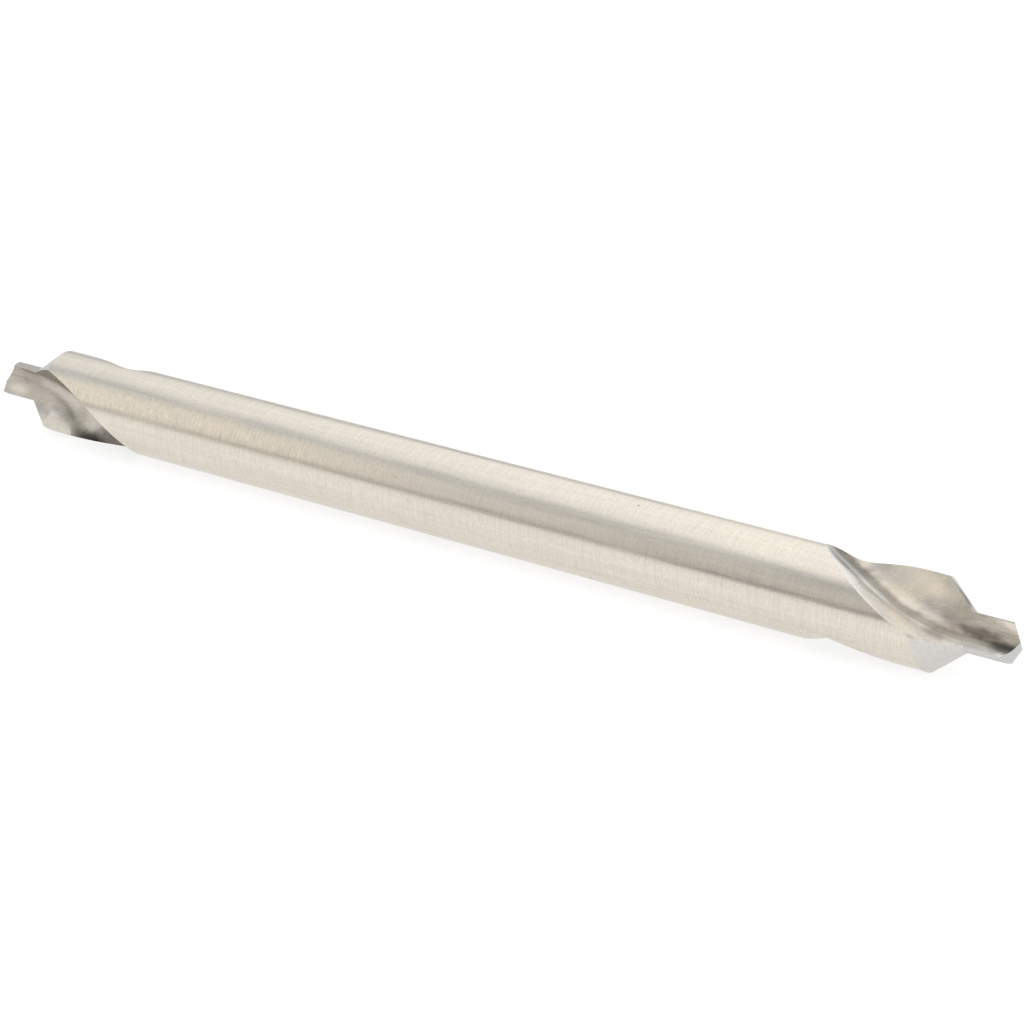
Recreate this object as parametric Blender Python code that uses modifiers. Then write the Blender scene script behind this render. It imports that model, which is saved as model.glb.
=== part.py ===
# Double-ended centre drill, extra long: a ground steel rod with a stub drill and a countersink at each end.
# Metres, +Z up. The drill lies along X with its middle at the origin.
#
# Each end is worked out in an end frame: s runs along the axis from the countersink's outer edge into the
# shank, so the stub drill has negative s, and across the axis an angle of 90 degrees points to the side that
# holds the first lip. The far end is made like the near one and then turned half about Y.

import bpy
import bmesh
from math import asin, cos, hypot, pi, radians, sin, sqrt, tan
from mathutils import Matrix, Vector

# Driving dimensions
OVERALL_LENGTH = 0.1524
SHANK_DIAMETER = 0.0111125
PILOT_DIAMETER = 0.0047625
PILOT_LENGTH = 0.0047625       # the parallel part of the stub drill, without its point
COUNTERSINK_ANGLE = 82.0
LYING_ROLL = -26.5             # how the drill happens to lie, turned about its axis

# The two ends were ground in separate set-ups, so these differ a little between them
NEAR_POINT_ANGLE = 118.0
FAR_POINT_ANGLE = 130.0
NEAR_RAKE_DIRECTION = 112.0    # of the rake face's inner part at the countersink's outer edge
FAR_RAKE_DIRECTION = 114.5
NEAR_FLUTE_LEAD = 0.130        # along the axis for one full turn
FAR_FLUTE_LEAD = 0.172

# Flutes: a hollow rake face, a round bottom and a flat heel wall, twisted right-handed along the drill
TWIST_END = 0.0135             # from here on the flute is the print of the standing wheel
TWIST_EASE = 0.00175           # over which the twist dies out
HALF_WEB_AT_EDGE = 0.00094
HALF_WEB_GROWTH = 0.050        # web gained for each metre along the axis, on each side
RAKE_LIFT = 1.06               # further gain in the print, for each metre
RAKE_HOLLOW_RADIUS = 0.00845
FAR_LIP_HOOK = 138.0           # extra curvature of the far rake face at its lips, in 1/m
HOOK_FADE = 0.0034             # over which the hook dies out behind the countersink's outer edge
FLUTE_BOTTOM_RADIUS = 0.00167
HEEL_WALL_SLOPE = 49.9         # fall of the heel wall as it runs outwards
HEEL_WALL_OFFSET = -0.00037    # of the heel wall's line from the drill's axis
WHEEL_RADIUS = 0.0259          # the grinding wheel leaves the flute along its own round edge
WHEEL_LEAVES_AT = -0.0034
WHEEL_SHARE = 0.87             # of its radius along which the wheel's edge is followed, well out of the shank

# Relief behind the cutting edges
COUNTERSINK_RELIEF = 0.000825  # fall along the axis at the shank's radius, for each radian behind the lip
PILOT_RELIEF = 0.000126        # fall towards the axis, for each radian behind the margin
POINT_RELIEF_ANGLE = 26.0
RELIEF_LEAD_IN = 7.0           # degrees of the relief cut that lie in the open flute, before the lip
RELIEF_START = 4.0             # degrees before the lip at which the fall begins
RELIEF_SWEEP = 100.0           # past the heel, into the next flute

# Fineness
SHANK_SIDES = 96
FLUTE_STATION_STEP = 0.0006
BOTTOM_STEPS = 9
FACE_STEPS = 8
RELIEF_STEPS = 18
LIP_STEPS = 5
LIP_SEARCH_STEPS = 12
OVERSIZE = 0.003               # how far the cutters reach past the blank

SHANK_RADIUS = SHANK_DIAMETER / 2
PILOT_RADIUS = PILOT_DIAMETER / 2
CONE_HEIGHT = (SHANK_RADIUS - PILOT_RADIUS) / tan(radians(COUNTERSINK_ANGLE / 2))
REACH = SHANK_RADIUS + OVERSIZE
FLUTE_END = WHEEL_LEAVES_AT + WHEEL_SHARE * WHEEL_RADIUS

STEEL_COLOUR = (0.62, 0.59, 0.55, 1.0)


class End:
    """What one ground end has of its own."""

    def __init__(self, name, turn, point_angle, rake_direction, flute_lead, lip_hook):
        self.name = name
        self.turn = turn
        self.point_slope = 1 / tan(radians(point_angle / 2))
        self.length = PILOT_RADIUS * self.point_slope + PILOT_LENGTH + CONE_HEIGHT
        self.rake_direction = radians(rake_direction)
        self.flute_lead = flute_lead
        self.lip_hook = lip_hook


AS_BUILT = Matrix.Identity(4)
HALF_ROUND_Y = Matrix.Rotation(pi, 4, "Y")
NEAR_END = End("near", AS_BUILT, NEAR_POINT_ANGLE, NEAR_RAKE_DIRECTION, NEAR_FLUTE_LEAD, 0.0)
FAR_END = End("far", HALF_ROUND_Y, FAR_POINT_ANGLE, FAR_RAKE_DIRECTION, FAR_FLUTE_LEAD, FAR_LIP_HOOK)


def clear_scene():
    for item in list(bpy.data.objects):
        bpy.data.objects.remove(item, do_unlink=True)


def new_collection(name):
    collection = bpy.data.collections.new(name)
    bpy.context.scene.collection.children.link(collection)
    return collection


def ground_steel():
    material = bpy.data.materials.new("ground_steel")
    material.use_nodes = True
    shader = material.node_tree.nodes["Principled BSDF"]
    shader.inputs["Base Color"].default_value = STEEL_COLOUR
    shader.inputs["Metallic"].default_value = 1.0
    shader.inputs["Roughness"].default_value = 0.3
    return material


def blank_outline(end):
    """Half of the blank's outline as (distance from the middle, radius), from the oversize pilot inwards."""
    half = OVERALL_LENGTH / 2
    edge = half - end.length
    return [
        (half + OVERSIZE, 0.0),
        (half + OVERSIZE, PILOT_RADIUS),
        (edge + CONE_HEIGHT, PILOT_RADIUS),
        (edge, SHANK_RADIUS),
    ]


def turned_blank(collection):
    """The rod with its two stub drills and countersink cones, before any flute is cut."""
    outline = blank_outline(NEAR_END) + [(-x, r) for x, r in reversed(blank_outline(FAR_END))]
    mesh = bpy.data.meshes.new("centre_drill")
    points = [(x, 0.0, r) for x, r in outline]
    mesh.from_pydata(points, [(i, i + 1) for i in range(len(points) - 1)], [])
    body = bpy.data.objects.new("centre_drill", mesh)
    collection.objects.link(body)
    screw = body.modifiers.new("turn", "SCREW")
    screw.axis = "X"
    screw.steps = SHANK_SIDES
    screw.render_steps = SHANK_SIDES
    screw.use_merge_vertices = True
    screw.merge_threshold = 0.00001
    screw.use_smooth_shade = True
    return body


def loft(name, sections, collection):
    """A closed solid through sections of equal count, with a flat cap at each end."""
    shape = bmesh.new()
    rings = [[shape.verts.new(point) for point in section] for section in sections]
    count = len(rings[0])
    for ring, after in zip(rings, rings[1:]):
        for i in range(count):
            j = (i + 1) % count
            shape.faces.new((ring[i], ring[j], after[j], after[i]))
    shape.faces.new(rings[0])
    shape.faces.new(rings[-1])
    bmesh.ops.triangulate(shape, faces=shape.faces)
    bmesh.ops.recalc_face_normals(shape, faces=shape.faces)
    mesh = bpy.data.meshes.new(name)
    shape.to_mesh(mesh)
    shape.free()
    cutter = bpy.data.objects.new(name, mesh)
    cutter.hide_render = True
    cutter.display_type = "WIRE"
    collection.objects.link(cutter)
    return cutter


def end_point(end, s, across, up):
    """A point from its place in the end frame: s along the axis, across towards -Y, and up."""
    return Vector((OVERALL_LENGTH / 2 - end.length - s, -across, up))


def past_twist(s):
    """How far s lies past the end of the twist, rising smoothly from nothing."""
    past = s - TWIST_END
    return (past + sqrt(past ** 2 + TWIST_EASE ** 2)) / 2


def rake_direction(end, s):
    return end.rake_direction + 2 * pi * (s - past_twist(s)) / end.flute_lead


def half_web(s):
    return HALF_WEB_AT_EDGE + HALF_WEB_GROWTH * s + RAKE_LIFT * past_twist(s)


def wheel_rise(s):
    """How far the wheel's edge has lifted along the rake face."""
    run = max(0.0, s - WHEEL_LEAVES_AT)
    return WHEEL_RADIUS - sqrt(WHEEL_RADIUS ** 2 - run ** 2)


def rake_seat(s):
    """Where the round bottom hands over to the rake face, measured along that face from the drill's axis."""
    slope = radians(HEEL_WALL_SLOPE)
    corner = wheel_rise(s) + HEEL_WALL_OFFSET - half_web(s) * tan(slope)
    return corner + FLUTE_BOTTOM_RADIUS * tan((pi / 2 - slope) / 2)


def rake_point(end, s, run):
    """A point of the rake face, run from its seat, as (out from the web, along the face)."""
    hook = end.lip_hook * min(1.0, max(0.0, 1 - s / HOOK_FADE))
    return half_web(s) + run ** 2 * (1 / RAKE_HOLLOW_RADIUS + hook) / 2, rake_seat(s) + run


def flute_outline(end, s):
    """The flute's section as (out from the web, along the rake face), from the lip round to the heel."""
    slope = radians(HEEL_WALL_SLOPE)
    rake = [rake_point(end, s, REACH * (1 - i / FACE_STEPS)) for i in range(FACE_STEPS)]
    arc = []
    for i in range(BOTTOM_STEPS + 1):
        angle = pi + (pi / 2 - slope) * i / BOTTOM_STEPS
        out = half_web(s) + FLUTE_BOTTOM_RADIUS * (1 + cos(angle))
        arc.append((out, rake_seat(s) + FLUTE_BOTTOM_RADIUS * sin(angle)))
    foot = arc[-1]
    wall = []
    for run in [REACH * (i + 1) / FACE_STEPS for i in range(FACE_STEPS)] + [2 * REACH]:
        wall.append((foot[0] + run * cos(slope), foot[1] - run * sin(slope)))
    return rake + arc + wall + [(3 * REACH, wall[-1][1]), (3 * REACH, rake[0][1])]


def flute_section(end, s):
    along = rake_direction(end, s)
    out = along - pi / 2
    section = []
    for p, q in flute_outline(end, s):
        section.append(end_point(end, s, p * cos(out) + q * cos(along), p * sin(out) + q * sin(along)))
    return section


def flute_sections(end):
    start = -end.length - 2 * OVERSIZE
    count = round((FLUTE_END - start) / FLUTE_STATION_STEP)
    return [flute_section(end, start + (FLUTE_END - start) * i / count) for i in range(count + 1)]


def lip_angle(end, s, radius):
    """Where the rake face meets a radius, as an angle across the axis."""
    low, high = 0.0, REACH
    for _ in range(LIP_SEARCH_STEPS):
        middle = (low + high) / 2
        if hypot(*rake_point(end, s, middle)) < radius:
            low = middle
        else:
            high = middle
    return rake_direction(end, s) - asin(rake_point(end, s, low)[0] / radius)


def relief_section(end, behind):
    """The outline left on a land, at an angle in radians behind its lip, closed well outside the blank."""
    turned = behind + radians(RELIEF_START)
    pilot = PILOT_RADIUS - PILOT_RELIEF * turned
    front = -end.length - 2 * OVERSIZE
    foot = -CONE_HEIGHT * (SHANK_RADIUS - pilot) / (SHANK_RADIUS - PILOT_RADIUS)
    edge = COUNTERSINK_RELIEF * turned
    overrun = (REACH - pilot) / (SHANK_RADIUS - pilot)
    rim = [(front + (foot - front) * i / LIP_STEPS, pilot) for i in range(LIP_STEPS)]
    for i in range(LIP_STEPS + 1):
        share = overrun * i / LIP_STEPS
        rim.append((foot + (edge - foot) * share, pilot + (SHANK_RADIUS - pilot) * share))
    rim += [(rim[-1][0], 2 * REACH), (front, 2 * REACH)]
    section = []
    for s, radius in rim:
        angle = lip_angle(end, min(s, 0.0), min(radius, SHANK_RADIUS)) + behind
        section.append(end_point(end, s, radius * cos(angle), radius * sin(angle)))
    return section


def relief_sections(end):
    first = -radians(RELIEF_LEAD_IN)
    span = radians(RELIEF_LEAD_IN + RELIEF_SWEEP)
    return [relief_section(end, first + span * i / RELIEF_STEPS) for i in range(RELIEF_STEPS + 1)]


def point_sections(end):
    """A slab that leaves one flat flank of the point: it holds the lip and falls away behind it."""
    along = rake_direction(end, -end.length)
    out = along - pi / 2
    fall = tan(radians(POINT_RELIEF_ANGLE))
    flank = []
    outside = []
    for p, q in [(-REACH, -REACH), (REACH, -REACH), (REACH, REACH), (-REACH, REACH)]:
        across = p * cos(out) + q * cos(along)
        up = p * sin(out) + q * sin(along)
        s = end.point_slope * q - fall * p - end.length
        flank.append(end_point(end, s, across, up))
        outside.append(end_point(end, s - 2 * REACH, across, up))
    return [flank, outside]


def cut(body, cutter):
    boolean = body.modifiers.new(cutter.name, "BOOLEAN")
    boolean.operation = "DIFFERENCE"
    boolean.solver = "EXACT"
    boolean.object = cutter


def grind_end(end, body, frame, collection):
    """Cuts two flutes, reliefs and point flanks, the second of each turned half about the drill's axis."""
    halves = {"a": Matrix.Identity(4), "b": Matrix.Rotation(pi, 4, "X")}
    cuts = {"flute": flute_sections(end), "relief": relief_sections(end), "point": point_sections(end)}
    for what, sections in cuts.items():
        for half, flip in halves.items():
            cutter = loft(f"{end.name}_{what}_{half}", sections, collection)
            cutter.parent = frame
            cutter.matrix_local = end.turn @ flip
            cut(body, cutter)


def build():
    clear_scene()
    drill = new_collection("centre_drill")
    cutters = new_collection("cutters")
    frame = bpy.data.objects.new("lie", None)
    frame.rotation_euler.x = radians(LYING_ROLL)
    drill.objects.link(frame)
    body = turned_blank(drill)
    body.parent = frame
    body.data.materials.append(ground_steel())
    for end in (NEAR_END, FAR_END):
        grind_end(end, body, frame, cutters)


build()
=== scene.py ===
# Studio scene for the double-ended centre drill: a ground steel body on a white table.
# Metres, +Z up, in the frame of the CAD part. The body is made again here from the part's own sizes with
# finer steps, and has a surface of its own on the shank, in the flutes, on the relieved lands and on the
# point flanks.

from math import asin, cos, hypot, pi, radians, sin, sqrt, tan

import bmesh
import bpy
from mathutils import Matrix, Vector


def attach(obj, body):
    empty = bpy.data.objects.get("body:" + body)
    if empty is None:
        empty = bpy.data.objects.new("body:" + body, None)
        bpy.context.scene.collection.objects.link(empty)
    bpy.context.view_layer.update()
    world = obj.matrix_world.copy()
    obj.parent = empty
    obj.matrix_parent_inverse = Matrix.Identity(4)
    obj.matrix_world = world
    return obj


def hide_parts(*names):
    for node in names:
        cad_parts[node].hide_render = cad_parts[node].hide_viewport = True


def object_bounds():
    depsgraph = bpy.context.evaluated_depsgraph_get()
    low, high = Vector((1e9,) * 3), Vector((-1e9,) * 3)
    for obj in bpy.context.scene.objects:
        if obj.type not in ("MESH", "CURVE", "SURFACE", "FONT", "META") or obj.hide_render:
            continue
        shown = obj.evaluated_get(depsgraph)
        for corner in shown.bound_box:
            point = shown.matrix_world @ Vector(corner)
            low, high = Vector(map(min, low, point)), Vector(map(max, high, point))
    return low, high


# The part's sizes
OVERALL_LENGTH = 0.1524
SHANK_DIAMETER = 0.0111125
PILOT_DIAMETER = 0.0047625
PILOT_LENGTH = 0.0047625
COUNTERSINK_ANGLE = 82.0
LYING_ROLL = -26.5
NEAR_POINT_ANGLE = 118.0
FAR_POINT_ANGLE = 130.0
NEAR_RAKE_DIRECTION = 112.0
FAR_RAKE_DIRECTION = 114.5
NEAR_FLUTE_LEAD = 0.130
FAR_FLUTE_LEAD = 0.172
TWIST_END = 0.0135
TWIST_EASE = 0.00175
HALF_WEB_AT_EDGE = 0.00094
HALF_WEB_GROWTH = 0.050
RAKE_LIFT = 1.06
RAKE_HOLLOW_RADIUS = 0.00845
FAR_LIP_HOOK = 138.0
HOOK_FADE = 0.0034
FLUTE_BOTTOM_RADIUS = 0.00167
HEEL_WALL_SLOPE = 49.9
HEEL_WALL_OFFSET = -0.00037
WHEEL_RADIUS = 0.0259
WHEEL_LEAVES_AT = -0.0034
WHEEL_SHARE = 0.87
COUNTERSINK_RELIEF = 0.000825
PILOT_RELIEF = 0.000126
POINT_RELIEF_ANGLE = 26.0
RELIEF_LEAD_IN = 7.0
RELIEF_START = 4.0
RELIEF_SWEEP = 100.0

# Fineness, about twice that of the part
SHANK_SIDES = 192
FLUTE_STATION_STEP = 0.0003
BOTTOM_STEPS = 16
FACE_STEPS = 18
RELIEF_STEPS = 32
LIP_STEPS = 8
LIP_SEARCH_STEPS = 16
OVERSIZE = 0.003
SHARP_EDGE = 22.0              # degrees between faces, above which an edge stays crisp
MM = 0.001

SHANK_RADIUS = SHANK_DIAMETER / 2
PILOT_RADIUS = PILOT_DIAMETER / 2
CONE_HEIGHT = (SHANK_RADIUS - PILOT_RADIUS) / tan(radians(COUNTERSINK_ANGLE / 2))
REACH = SHANK_RADIUS + OVERSIZE
FLUTE_END = WHEEL_LEAVES_AT + WHEEL_SHARE * WHEEL_RADIUS

# Camera, as fitted to the outline of the drill in the photo
CAMERA_PLACE = Vector((0.20331, -0.27661, 0.13791))
CAMERA_FORWARD = Vector((-0.5345, 0.7561, -0.3776))
CAMERA_RIGHT = Vector((0.8166, 0.5771, -0.0003))
CAMERA_LENS = 105.55
SENSOR_WIDTH = 36.0

# Golden stretch of the shank: degrees round the axis from its front, and metres along it
GOLD_MIDDLE = 31
GOLD_FULL_WITHIN = 9
GOLD_GONE_BEYOND = 22
GOLD_FULL_FROM = -0.034
GOLD_GONE_FROM = 0.008

# Features for each metre along X, Y and Z: patches in the flutes and round the edges of the painted patches
# of light and shade, and the grain of the relief-ground faces
PATCHES = (300, 380, 380)
LAND_GRAIN = (3000, 3000, 3000)
POINT_GRAIN = (900, 6000, 6000)

# Middle shares of a noise, between which it is spread out
NOISE_LOW = 0.3
NOISE_HIGH = 0.7

FLOOR_SIZE = 4.0
FLOOR_GLOW = 0.765
FLOOR_GREY = 0.33

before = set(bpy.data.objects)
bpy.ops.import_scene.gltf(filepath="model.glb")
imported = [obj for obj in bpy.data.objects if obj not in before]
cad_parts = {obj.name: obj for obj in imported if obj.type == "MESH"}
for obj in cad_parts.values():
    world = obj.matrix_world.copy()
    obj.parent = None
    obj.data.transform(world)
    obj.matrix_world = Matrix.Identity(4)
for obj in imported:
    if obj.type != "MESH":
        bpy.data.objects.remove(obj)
cad_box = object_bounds()


class End:
    """What one ground end has of its own."""

    def __init__(self, name, turn, point_angle, rake_direction, flute_lead, lip_hook):
        self.name = name
        self.turn = turn
        self.point_slope = 1 / tan(radians(point_angle / 2))
        self.length = PILOT_RADIUS * self.point_slope + PILOT_LENGTH + CONE_HEIGHT
        self.rake_direction = radians(rake_direction)
        self.flute_lead = flute_lead
        self.lip_hook = lip_hook


AS_BUILT = Matrix.Identity(4)
HALF_ROUND_Y = Matrix.Rotation(pi, 4, "Y")
NEAR_END = End("near", AS_BUILT, NEAR_POINT_ANGLE, NEAR_RAKE_DIRECTION, NEAR_FLUTE_LEAD, 0.0)
FAR_END = End("far", HALF_ROUND_Y, FAR_POINT_ANGLE, FAR_RAKE_DIRECTION, FAR_FLUTE_LEAD, FAR_LIP_HOOK)


def blank_outline(end):
    """Half of the blank's outline as (distance from the middle, radius), from the oversize pilot inwards."""
    half = OVERALL_LENGTH / 2
    edge = half - end.length
    return [
        (half + OVERSIZE, 0.0),
        (half + OVERSIZE, PILOT_RADIUS),
        (edge + CONE_HEIGHT, PILOT_RADIUS),
        (edge, SHANK_RADIUS),
    ]


def turned_blank(material):
    outline = blank_outline(NEAR_END) + [(-x, r) for x, r in reversed(blank_outline(FAR_END))]
    mesh = bpy.data.meshes.new("ground_drill")
    points = [(x, 0.0, r) for x, r in outline]
    mesh.from_pydata(points, [(i, i + 1) for i in range(len(points) - 1)], [])
    mesh.materials.append(material)
    body = bpy.data.objects.new("blank", mesh)
    bpy.context.scene.collection.objects.link(body)
    screw = body.modifiers.new("turn", "SCREW")
    screw.axis = "X"
    screw.steps = SHANK_SIDES
    screw.render_steps = SHANK_SIDES
    screw.use_merge_vertices = True
    screw.merge_threshold = 0.00001
    screw.use_smooth_shade = True
    return body


def loft(name, sections, materials, zone_of):
    """A closed solid through sections of equal count, with material number zone_of(i) on strip i."""
    shape = bmesh.new()
    rings = [[shape.verts.new(point) for point in section] for section in sections]
    count = len(rings[0])
    for ring, after in zip(rings, rings[1:]):
        for i in range(count):
            j = (i + 1) % count
            face = shape.faces.new((ring[i], ring[j], after[j], after[i]))
            face.material_index = zone_of(i)
    shape.faces.new(rings[0])
    shape.faces.new(rings[-1])
    bmesh.ops.triangulate(shape, faces=shape.faces)
    bmesh.ops.recalc_face_normals(shape, faces=shape.faces)
    mesh = bpy.data.meshes.new(name)
    shape.to_mesh(mesh)
    shape.free()
    for material in materials:
        mesh.materials.append(material)
    cutter = bpy.data.objects.new(name, mesh)
    bpy.context.scene.collection.objects.link(cutter)
    return cutter


def end_point(end, s, across, up):
    """A point from its place in the end frame: s along the axis, across towards -Y, and up."""
    return Vector((OVERALL_LENGTH / 2 - end.length - s, -across, up))


def past_twist(s):
    """How far s lies past the end of the twist, rising smoothly from nothing."""
    past = s - TWIST_END
    return (past + sqrt(past ** 2 + TWIST_EASE ** 2)) / 2


def rake_direction(end, s):
    return end.rake_direction + 2 * pi * (s - past_twist(s)) / end.flute_lead


def half_web(s):
    return HALF_WEB_AT_EDGE + HALF_WEB_GROWTH * s + RAKE_LIFT * past_twist(s)


def wheel_rise(s):
    """How far the wheel's edge has lifted along the rake face."""
    run = max(0.0, s - WHEEL_LEAVES_AT)
    return WHEEL_RADIUS - sqrt(WHEEL_RADIUS ** 2 - run ** 2)


def rake_seat(s):
    """Where the round bottom hands over to the rake face, measured along that face from the drill's axis."""
    slope = radians(HEEL_WALL_SLOPE)
    corner = wheel_rise(s) + HEEL_WALL_OFFSET - half_web(s) * tan(slope)
    return corner + FLUTE_BOTTOM_RADIUS * tan((pi / 2 - slope) / 2)


def rake_point(end, s, run):
    """A point of the rake face, run from its seat, as (out from the web, along the face)."""
    hook = end.lip_hook * min(1.0, max(0.0, 1 - s / HOOK_FADE))
    return half_web(s) + run ** 2 * (1 / RAKE_HOLLOW_RADIUS + hook) / 2, rake_seat(s) + run


def flute_outline(end, s):
    """The flute's section as (out from the web, along the rake face), from the lip round to the heel."""
    slope = radians(HEEL_WALL_SLOPE)
    rake = [rake_point(end, s, REACH * (1 - i / FACE_STEPS)) for i in range(FACE_STEPS)]
    arc = []
    for i in range(BOTTOM_STEPS + 1):
        angle = pi + (pi / 2 - slope) * i / BOTTOM_STEPS
        out = half_web(s) + FLUTE_BOTTOM_RADIUS * (1 + cos(angle))
        arc.append((out, rake_seat(s) + FLUTE_BOTTOM_RADIUS * sin(angle)))
    foot = arc[-1]
    wall = []
    for run in [REACH * (i + 1) / FACE_STEPS for i in range(FACE_STEPS)] + [2 * REACH]:
        wall.append((foot[0] + run * cos(slope), foot[1] - run * sin(slope)))
    return rake + arc + wall + [(3 * REACH, wall[-1][1]), (3 * REACH, rake[0][1])]


def flute_section(end, s):
    along = rake_direction(end, s)
    out = along - pi / 2
    section = []
    for p, q in flute_outline(end, s):
        section.append(end_point(end, s, p * cos(out) + q * cos(along), p * sin(out) + q * sin(along)))
    return section


def flute_sections(end):
    start = -end.length - 2 * OVERSIZE
    count = round((FLUTE_END - start) / FLUTE_STATION_STEP)
    return [flute_section(end, start + (FLUTE_END - start) * i / count) for i in range(count + 1)]


def lip_angle(end, s, radius):
    """Where the rake face meets a radius, as an angle across the axis."""
    low, high = 0.0, REACH
    for _ in range(LIP_SEARCH_STEPS):
        middle = (low + high) / 2
        if hypot(*rake_point(end, s, middle)) < radius:
            low = middle
        else:
            high = middle
    return rake_direction(end, s) - asin(rake_point(end, s, low)[0] / radius)


def relief_section(end, behind):
    """The outline left on a land, at an angle in radians behind its lip, closed well outside the blank."""
    turned = behind + radians(RELIEF_START)
    pilot = PILOT_RADIUS - PILOT_RELIEF * turned
    front = -end.length - 2 * OVERSIZE
    foot = -CONE_HEIGHT * (SHANK_RADIUS - pilot) / (SHANK_RADIUS - PILOT_RADIUS)
    edge = COUNTERSINK_RELIEF * turned
    overrun = (REACH - pilot) / (SHANK_RADIUS - pilot)
    rim = [(front + (foot - front) * i / LIP_STEPS, pilot) for i in range(LIP_STEPS)]
    for i in range(LIP_STEPS + 1):
        share = overrun * i / LIP_STEPS
        rim.append((foot + (edge - foot) * share, pilot + (SHANK_RADIUS - pilot) * share))
    rim += [(rim[-1][0], 2 * REACH), (front, 2 * REACH)]
    section = []
    for s, radius in rim:
        angle = lip_angle(end, min(s, 0.0), min(radius, SHANK_RADIUS)) + behind
        section.append(end_point(end, s, radius * cos(angle), radius * sin(angle)))
    return section


def relief_sections(end):
    first = -radians(RELIEF_LEAD_IN)
    span = radians(RELIEF_LEAD_IN + RELIEF_SWEEP)
    return [relief_section(end, first + span * i / RELIEF_STEPS) for i in range(RELIEF_STEPS + 1)]


def point_sections(end):
    """A slab that leaves one flat flank of the point: it holds the lip and falls away behind it."""
    along = rake_direction(end, -end.length)
    out = along - pi / 2
    fall = tan(radians(POINT_RELIEF_ANGLE))
    flank = []
    outside = []
    for p, q in [(-REACH, -REACH), (REACH, -REACH), (REACH, REACH), (-REACH, REACH)]:
        across = p * cos(out) + q * cos(along)
        up = p * sin(out) + q * sin(along)
        s = end.point_slope * q - fall * p - end.length
        flank.append(end_point(end, s, across, up))
        outside.append(end_point(end, s - 2 * REACH, across, up))
    return [flank, outside]


def one_zone(i):
    return 0


def land_zone(i):
    """The pilot's land or the countersink's."""
    return 1 if i < LIP_STEPS else 0


def grind_end(end, body, steels):
    """Cuts two flutes, reliefs and point flanks, the second of each turned half about the drill's axis."""
    halves = {"a": AS_BUILT, "b": Matrix.Rotation(pi, 4, "X")}
    cuts = {
        "flute": (flute_sections(end), [steels["flute"]], one_zone),
        "land": (relief_sections(end), [steels["land"], steels["pilot"]], land_zone),
        "point": (point_sections(end), [steels["point"]], one_zone),
    }
    cutters = []
    for what, (sections, materials, zone_of) in cuts.items():
        for half, flip in halves.items():
            cutter = loft(f"{end.name}_{what}_{half}", sections, materials, zone_of)
            cutter.matrix_world = end.turn @ flip
            boolean = body.modifiers.new(cutter.name, "BOOLEAN")
            boolean.operation = "DIFFERENCE"
            boolean.solver = "EXACT"
            boolean.material_mode = "TRANSFER"
            boolean.object = cutter
            cutters.append(cutter)
    return cutters


def rake_run(point):
    """How far a point lies outwards of the seat of its flute's rake face, in millimetres."""
    end = NEAR_END if point.x > 0 else FAR_END
    turned = end.turn @ point
    s = OVERALL_LENGTH / 2 - end.length - turned.x
    along = rake_direction(end, s)
    out = along - pi / 2
    p = -turned.y * cos(out) + turned.z * sin(out)
    q = -turned.y * cos(along) + turned.z * sin(along)
    side = 1 if p > 0 else -1
    return (side * q - rake_seat(s)) / MM if s < FLUTE_END else 0.0


def add_drill(shank, near, far):
    body = turned_blank(shank)
    cutters = grind_end(NEAR_END, body, near) + grind_end(FAR_END, body, far)
    settled = body.evaluated_get(bpy.context.evaluated_depsgraph_get())
    mesh = bpy.data.meshes.new_from_object(settled)
    runs = mesh.attributes.new("rake_run", "FLOAT", "POINT")
    runs.data.foreach_set("value", [rake_run(vertex.co) for vertex in mesh.vertices])
    mesh.transform(Matrix.Rotation(radians(LYING_ROLL), 4, "X"))
    for helper in cutters + [body]:
        bpy.data.objects.remove(helper, do_unlink=True)
    mesh.name = "ground_drill"
    mesh.polygons.foreach_set("use_smooth", [True] * len(mesh.polygons))
    mesh.set_sharp_from_angle(angle=radians(SHARP_EDGE))
    drill = bpy.data.objects.new("ground_drill", mesh)
    bpy.context.scene.collection.objects.link(drill)
    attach(drill, "root")
    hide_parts("centre_drill")


def node(tree, kind, inputs=None, **settings):
    """A new node with its settings, and its inputs linked where a value is a socket."""
    made = tree.nodes.new(kind)
    for name, value in settings.items():
        setattr(made, name, value)
    for socket, value in (inputs or {}).items():
        if isinstance(value, bpy.types.NodeSocket):
            tree.links.new(value, made.inputs[socket])
        else:
            made.inputs[socket].default_value = value
    return made


def ramp(tree, fac, stops):
    """A colour ramp over (place, colour) stops."""
    made = node(tree, "ShaderNodeValToRGB", {"Fac": fac})
    band = made.color_ramp
    while len(band.elements) < len(stops):
        band.elements.new(1.0)
    for element, (place, colour) in zip(band.elements, stops):
        element.position = place
        element.color = (*colour, 1.0)
    return made.outputs["Color"]


def noise(tree, vector, scale, detail, roughness):
    """Noise over a vector stretched by a scale for each direction, in features for each metre."""
    placed = node(tree, "ShaderNodeMapping", {"Vector": vector, "Scale": scale})
    inputs = {"Vector": placed.outputs["Vector"], "Scale": 1.0, "Detail": detail, "Roughness": roughness}
    return node(tree, "ShaderNodeTexNoise", inputs).outputs["Fac"]


def mix(tree, fac, a, b, blend="MIX"):
    """A mix of two colours, which are a Mix node's sockets 6 and 7 and its output 2."""
    return node(tree, "ShaderNodeMix", {0: fac, 6: a, 7: b}, data_type="RGBA", blend_type=blend).outputs[2]


def multiply(tree, a, b):
    return mix(tree, 1.0, a, b, "MULTIPLY")


def spread(tree, value, low, high, to_low, to_high):
    """The value's range from low to high, stretched or squeezed to another range and cut off at its ends."""
    inputs = {"Value": value, "From Min": low, "From Max": high, "To Min": to_low, "To Max": to_high}
    return node(tree, "ShaderNodeMapRange", inputs).outputs["Result"]


def spread_noise(tree, value, to_low, to_high):
    return spread(tree, value, NOISE_LOW, NOISE_HIGH, to_low, to_high)


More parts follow.
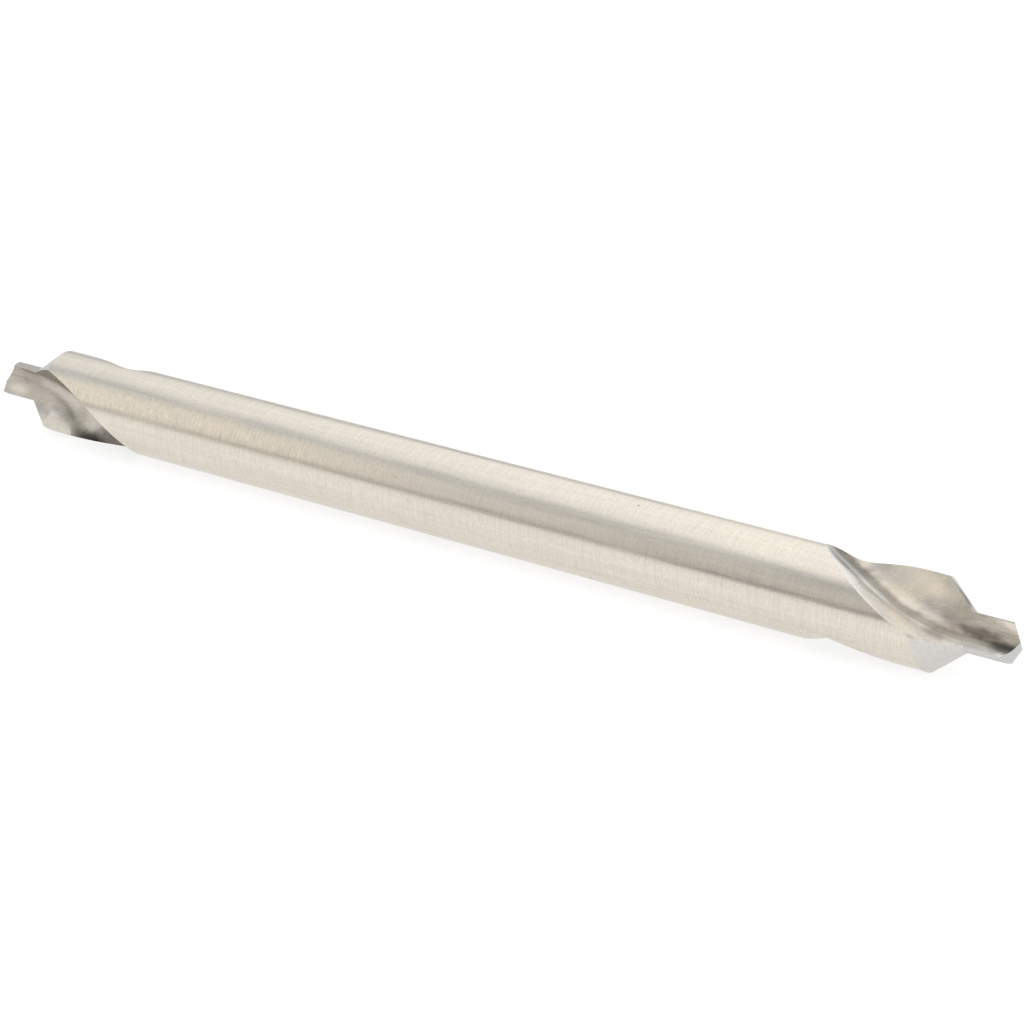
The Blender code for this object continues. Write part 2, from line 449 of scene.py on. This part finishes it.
def new_steel(name):
    material = bpy.data.materials.new(name)
    material.use_nodes = True
    shader = material.node_tree.nodes["Principled BSDF"]
    shader.inputs["Metallic"].default_value = 1.0
    return material, material.node_tree, shader


def object_place(tree):
    return node(tree, "ShaderNodeTexCoord").outputs["Object"]


def bump(tree, shader, height, distance):
    made = node(tree, "ShaderNodeBump", {"Height": height, "Distance": distance})
    tree.links.new(made.outputs["Normal"], shader.inputs["Normal"])


def arithmetic(tree, operation, a, b=0.0):
    return node(tree, "ShaderNodeMath", {0: a, 1: b}, operation=operation).outputs[0]


def smooth(tree, value, low, high):
    """Nothing below the low value, one above the high one, and a smooth change between them."""
    inputs = {"Value": value, "From Min": low, "From Max": high}
    return node(tree, "ShaderNodeMapRange", inputs, interpolation_type="SMOOTHSTEP").outputs["Result"]


def split(tree, vector):
    parts = node(tree, "ShaderNodeSeparateXYZ", {"Vector": vector})
    return parts.outputs["X"], parts.outputs["Y"], parts.outputs["Z"]


def golden_side(tree, place):
    """Where heat has left the shank golden: a strip along its front, from the far end to the middle."""
    x, y, z = split(tree, place)
    round_axis = arithmetic(tree, "ARCTAN2", z, arithmetic(tree, "MULTIPLY", y, -1.0))
    off_middle = arithmetic(tree, "ABSOLUTE", arithmetic(tree, "SUBTRACT", round_axis, radians(GOLD_MIDDLE)))
    strip = smooth(tree, off_middle, radians(GOLD_GONE_BEYOND), radians(GOLD_FULL_WITHIN))
    length = smooth(tree, x, GOLD_GONE_FROM, GOLD_FULL_FROM)
    return arithmetic(tree, "MULTIPLY", strip, length)


def shank_steel():
    """Round-ground steel: fine lines around the shank, faint streaks along it, and a golden stretch."""
    material, tree, shader = new_steel("shank_steel")
    place = object_place(tree)
    fine = noise(tree, place, (8000, 260, 260), 2.0, 0.6)
    grain = noise(tree, place, (3800, 2600, 2600), 3.0, 0.6)
    streaks = noise(tree, place, (60, 1500, 1500), 3.0, 0.55)
    patches = noise(tree, place, (3200, 900, 900), 4.0, 0.65)
    cells = node(tree, "ShaderNodeTexVoronoi", {"Vector": place, "Scale": 150.0})
    pits = smooth(tree, cells.outputs["Distance"], 0.030, 0.015)
    plain = ramp(tree, streaks, [(0.34, (0.715, 0.664, 0.582)), (0.66, (0.785, 0.724, 0.626))])
    gold = ramp(tree, patches, [
        (0.36, (0.76, 0.71, 0.62)),
        (0.50, (0.85, 0.77, 0.645)),
        (0.64, (0.93, 0.82, 0.655)),
    ])
    tint = mix(tree, golden_side(tree, place), plain, gold)
    lines = ramp(tree, mix(tree, 0.5, fine, grain), [(0.34, (0.84, 0.84, 0.84)), (0.62, (1.0, 1.0, 1.0))])
    colour = mix(tree, pits, multiply(tree, tint, lines), (0.30, 0.28, 0.25, 1.0))
    tree.links.new(colour, shader.inputs["Base Color"])
    tree.links.new(spread_noise(tree, streaks, 0.22, 0.30), shader.inputs["Roughness"])
    bump(tree, shader, fine, 0.0000012)
    return material


def helix_place(tree):
    """Object coordinates with the flutes' twist taken out, so that grinding lines run along the flute."""
    place = object_place(tree)
    angle = arithmetic(tree, "MULTIPLY", split(tree, place)[0], 2 * pi / NEAR_FLUTE_LEAD)
    inputs = {"Vector": place, "Angle": angle}
    return node(tree, "ShaderNodeVectorRotate", inputs, rotation_type="X_AXIS").outputs["Vector"]


def painted_light_patch(tree, colour, ragged, centre, reach, tint):
    """Tints a colour inside a soft ellipsoid, given by its centre and half axes in millimetres: painted
    shade and dark reflections where the tint darkens, painted highlights where it brightens.
    """
    kind = "ShaderNodeVectorMath"
    off = node(tree, kind, {0: object_place(tree), 1: Vector(centre) * MM}, operation="SUBTRACT")
    shares = node(tree, kind, {0: off.outputs[0], 1: Vector(reach) * MM}, operation="DIVIDE")
    away = node(tree, kind, {0: shares.outputs[0]}, operation="LENGTH")
    edge = arithmetic(tree, "ADD", away.outputs["Value"], spread_noise(tree, ragged, -0.22, 0.22))
    return mix(tree, smooth(tree, edge, 1.05, 0.25), colour, (*tint, 1.0), "MULTIPLY")


def flute_bands(tree, patches, bands, drift):
    """Colours by the distance from the rake's seat in millimetres, with wavy edges.

    The bands drift outwards by so many millimetres from the first to the second place along the drill.
    """
    drift_from, drift_to, drift_out = drift
    run = node(tree, "ShaderNodeAttribute", attribute_name="rake_run").outputs["Fac"]
    along = split(tree, object_place(tree))[0]
    moved = spread(tree, along, drift_from * MM, drift_to * MM, 0.0, -drift_out)
    wavy = arithmetic(tree, "ADD", run, spread_noise(tree, patches, -0.16, 0.16))
    wavy = arithmetic(tree, "ADD", wavy, moved)
    first, last = bands[0][0], bands[-1][0]
    stops = [((place - first) / (last - first), colour) for place, colour in bands]
    return ramp(tree, spread(tree, wavy, first, last, 0.0, 1.0), stops)


def flute_steel(name, bands, drift, painted_patches):
    """Deep-ground steel: colour bands along the flute, clouds, wheel lines, and painted patches of shade and
    highlight.
    """
    material, tree, shader = new_steel(name)
    lines = noise(tree, helix_place(tree), (250, 9000, 9000), 3.0, 0.6)
    patches = noise(tree, object_place(tree), PATCHES, 4.0, 0.6)
    colour = flute_bands(tree, patches, bands, drift)
    cloud = ramp(tree, patches, [
        (0.34, (0.86, 0.86, 0.86)),
        (0.50, (0.95, 0.95, 0.945)),
        (0.64, (1.04, 1.025, 1.0)),
    ])
    scratch = ramp(tree, lines, [(0.34, (0.84, 0.84, 0.84)), (0.62, (1.0, 1.0, 1.0))])
    colour = multiply(tree, multiply(tree, colour, cloud), scratch)
    for centre, reach, tint in painted_patches:
        colour = painted_light_patch(tree, colour, patches, centre, reach, tint)
    tree.links.new(colour, shader.inputs["Base Color"])
    tree.links.new(spread_noise(tree, lines, 0.24, 0.36), shader.inputs["Roughness"])
    bump(tree, shader, lines, 0.000003)
    return material


def land_steel(name, colour, scale, painted_patches):
    """Relief-ground steel with a fine even grain and painted patches of shade and highlight."""
    material, tree, shader = new_steel(name)
    place = object_place(tree)
    grain = noise(tree, place, scale, 3.0, 0.6)
    patches = noise(tree, place, PATCHES, 4.0, 0.6)
    dull = tuple(0.92 * part for part in colour)
    bright = tuple(1.05 * part for part in colour)
    ground = ramp(tree, grain, [(0.32, dull), (0.66, bright)])
    for centre, reach, tint in painted_patches:
        ground = painted_light_patch(tree, ground, patches, centre, reach, tint)
    tree.links.new(ground, shader.inputs["Base Color"])
    tree.links.new(spread_noise(tree, grain, 0.30, 0.42), shader.inputs["Roughness"])
    bump(tree, shader, grain, 0.000002)
    return material


def near_steels():
    """The near end's four surfaces. A painted patch is a centre, half axes and a tint, which darkens for
    painted shade and brightens for a painted highlight.
    """
    # Bands across the flute: the pale heel wall is a painted reflection, the dark brown band over the round
    # bottom is painted shade, and the rake face is golden
    bands = [
        (-2.0, (0.84, 0.82, 0.79)),
        (-1.20, (0.82, 0.80, 0.77)),
        (-0.90, (0.62, 0.60, 0.57)),
        (-0.45, (0.36, 0.33, 0.285)),
        (0.15, (0.36, 0.325, 0.28)),
        (0.75, (0.69, 0.63, 0.55)),
        (3.0, (0.72, 0.66, 0.57)),
    ]
    # Painted light and shade in the flute: darkening patches are painted shade and dark reflections, among
    # them the streak along the pilot's flute; brightening patches are painted highlights
    painted_patches = [
        ((51.0, 2.3, 3.8), (8.5, 3.4, 3.2), (0.56, 0.57, 0.58)),
        ((61.5, 1.2, 2.4), (3.6, 1.6, 1.6), (1.08, 1.04, 0.98)),
        ((65.0, 1.3, 3.4), (2.2, 1.2, 1.2), (1.15, 1.13, 1.08)),
        ((68.3, 0.1, 1.9), (2.4, 2.0, 2.4), (0.84, 0.83, 0.82)),
        ((67.8, -1.1, 0.1), (3.6, 1.1, 1.2), (0.78, 0.76, 0.74)),
        ((73.6, 0.1, 1.8), (3.4, 1.0, 1.2), (1.28, 1.27, 1.25)),
        ((71.3, -0.6, 0.40), (4.6, 0.8, 0.95), (0.45, 0.44, 0.43)),
        ((75.2, -0.95, -0.5), (4.8, 0.9, 1.10), (0.28, 0.28, 0.29)),
        ((72.0, -2.0, -0.9), (4.5, 0.9, 0.9), (0.68, 0.68, 0.67)),
        ((64.8, -1.5, 0.5), (2.2, 1.0, 0.8), (1.26, 1.24, 1.20)),
        ((66.8, -2.3, -0.2), (2.2, 1.0, 0.9), (0.72, 0.71, 0.70)),
        ((65.1, -5.4, 0.2), (1.5, 0.9, 0.7), (0.66, 0.66, 0.66)),
    ]
    # A painted highlight on the pilot's lower land
    painted_pilot_highlight = [((71.8, -1.85, -1.35), (6.0, 1.2, 1.1), (1.62, 1.62, 1.64))]
    # A painted dark reflection along the land behind the upper lip
    painted_lip_reflection = [((68.3, 1.0, 3.7), (3.8, 1.5, 3.2), (0.26, 0.26, 0.26))]
    return {
        "flute": flute_steel("near_flute", bands, (63.0, 53.0, 0.7), painted_patches),
        "land": land_steel("near_land", (0.655, 0.63, 0.60), LAND_GRAIN, painted_lip_reflection),
        # The pilot's land is a darker copy of the land steel: painted shade that dims its top strip
        "pilot": land_steel("near_pilot", (0.39, 0.38, 0.36), LAND_GRAIN, painted_pilot_highlight),
        "point": land_steel("near_point", (0.57, 0.57, 0.56), POINT_GRAIN, []),
    }


def far_steels():
    """The far end's four surfaces, told like the near end's."""
    bands = [
        (-1.5, (0.38, 0.35, 0.31)),
        (-0.5, (0.44, 0.40, 0.355)),
        (0.4, (0.58, 0.54, 0.48)),
        (3.0, (0.60, 0.56, 0.50)),
    ]
    # Painted light and shade in the flute: the brightening patches are painted highlights, and the dark ones
    # low along the heel are painted shade
    painted_patches = [
        ((-73.6, -1.3, -0.9), (2.6, 1.2, 1.2), (1.38, 1.36, 1.34)),
        ((-66.4, -2.0, -1.9), (2.4, 1.1, 1.3), (1.28, 1.28, 1.29)),
        ((-62.2, -1.2, -2.3), (2.6, 0.9, 1.6), (0.78, 0.77, 0.75)),
        ((-56.4, -0.8, -5.2), (6.0, 2.0, 2.6), (0.36, 0.35, 0.34)),
        ((-60.9, -1.6, -5.1), (3.2, 1.3, 1.5), (0.20, 0.205, 0.205)),
    ]
    return {
        "flute": flute_steel("far_flute", bands, (-60.0, -50.0, 0.0), painted_patches),
        "land": land_steel("far_land", (0.62, 0.60, 0.57), LAND_GRAIN, []),
        # The pilot's land is a darker copy of the land steel: painted shade that dims its top strip
        "pilot": land_steel("far_pilot", (0.46, 0.43, 0.40), LAND_GRAIN, []),
        "point": land_steel("far_point", (0.60, 0.58, 0.55), POINT_GRAIN, []),
    }


def add_camera():
    data = bpy.data.cameras.new("camera")
    data.lens = CAMERA_LENS
    data.sensor_width = SENSOR_WIDTH
    camera = bpy.data.objects.new("camera", data)
    bpy.context.scene.collection.objects.link(camera)
    forward = CAMERA_FORWARD.normalized()
    right = (CAMERA_RIGHT - forward * CAMERA_RIGHT.dot(forward)).normalized()
    up = right.cross(forward)
    turn = Matrix((right, up, -forward)).transposed()
    camera.matrix_world = Matrix.Translation(CAMERA_PLACE) @ turn.to_4x4()
    bpy.context.scene.camera = camera


def background_rays(tree):
    """One for what the camera sees straight, in metal or through glass, and nothing for other light."""
    path = node(tree, "ShaderNodeLightPath").outputs
    seen = arithmetic(tree, "MAXIMUM", path["Is Camera Ray"], path["Is Glossy Ray"])
    return arithmetic(tree, "MAXIMUM", seen, path["Is Transmission Ray"])


def add_floor():
    bpy.ops.mesh.primitive_plane_add(size=FLOOR_SIZE, location=(0.0, 0.0, cad_box[0][2]))
    floor = bpy.context.object
    floor.name = "floor"
    material = bpy.data.materials.new("floor")
    material.use_nodes = True
    tree = material.node_tree
    tree.nodes.clear()
    glow = arithmetic(tree, "MULTIPLY", background_rays(tree), FLOOR_GLOW)
    own = node(tree, "ShaderNodeEmission", {"Color": (1.0, 1.0, 1.0, 1.0), "Strength": glow})
    lit = node(tree, "ShaderNodeBsdfDiffuse", {"Color": (FLOOR_GREY, FLOOR_GREY, FLOOR_GREY, 1.0)})
    both = node(tree, "ShaderNodeAddShader", {0: own.outputs[0], 1: lit.outputs[0]})
    node(tree, "ShaderNodeOutputMaterial", {"Surface": both.outputs[0]})
    floor.data.materials.append(material)


def by_aside(tree, aside, middle, ends):
    """A level that changes from straight ahead or behind to the sides."""
    return spread(tree, aside, 0.16, 0.44, middle, ends)


def add_surroundings():
    """A light tent: bright over the table and behind it, plainer in front, and darker near the table."""
    world = bpy.data.worlds.new("studio")
    world.use_nodes = True
    bpy.context.scene.world = world
    tree = world.node_tree
    tree.nodes.clear()
    x, y, z = split(tree, node(tree, "ShaderNodeTexCoord").outputs["Generated"])
    aside = arithmetic(tree, "MULTIPLY", x, x)
    front = by_aside(tree, aside, 0.635, 1.00)
    above = by_aside(tree, aside, 1.30, 1.12)

    # The roof's light begins along a line that runs away from the camera, behind a cooler seam
    x_part = arithmetic(tree, "MULTIPLY", x, 0.89)
    y_part = arithmetic(tree, "MULTIPLY", y, 0.45)
    sideways = arithmetic(tree, "ADD", x_part, y_part)
    roof_line = arithmetic(tree, "DIVIDE", sideways, arithmetic(tree, "MAXIMUM", z, 0.03))
    share = smooth(tree, roof_line, -0.86, -0.58)
    seam = smooth(tree, roof_line, -1.25, -0.92)
    walls = mix(tree, seam, (1.0, 0.985, 0.970, 1.0), (0.665, 0.70, 0.755, 1.0))
    level = mix(tree, share, multiply(tree, walls, front), above)

    # Near the table the walls are darker, most of all in front and at the far rear corner
    is_front = smooth(tree, y, 0.15, -0.15)
    dark_front = by_aside(tree, aside, 0.27, 0.63)
    low_front = mix(tree, smooth(tree, z, 0.05, 0.25), dark_front, (1.0, 1.0, 1.0, 1.0))
    dark_rear = multiply(tree, by_aside(tree, aside, 0.30, 0.44), (0.96, 1.0, 1.04, 1.0))
    low_rear = mix(tree, smooth(tree, z, -0.10, 0.48), dark_rear, (1.0, 1.0, 1.0, 1.0))
    corner = smooth(tree, x, -0.22, -0.38)
    rear = mix(tree, corner, (0.92, 0.92, 0.92, 1.0), low_rear)
    colour = multiply(tree, level, mix(tree, is_front, rear, low_front))
    glow = node(tree, "ShaderNodeBackground", {"Color": colour, "Strength": 1.0})
    node(tree, "ShaderNodeOutputWorld", {"Surface": glow.outputs[0]})


add_camera()
add_floor()
add_surroundings()
add_drill(shank_steel(), near_steels(), far_steels())
bpy.context.scene.view_settings.view_transform = "Standard"
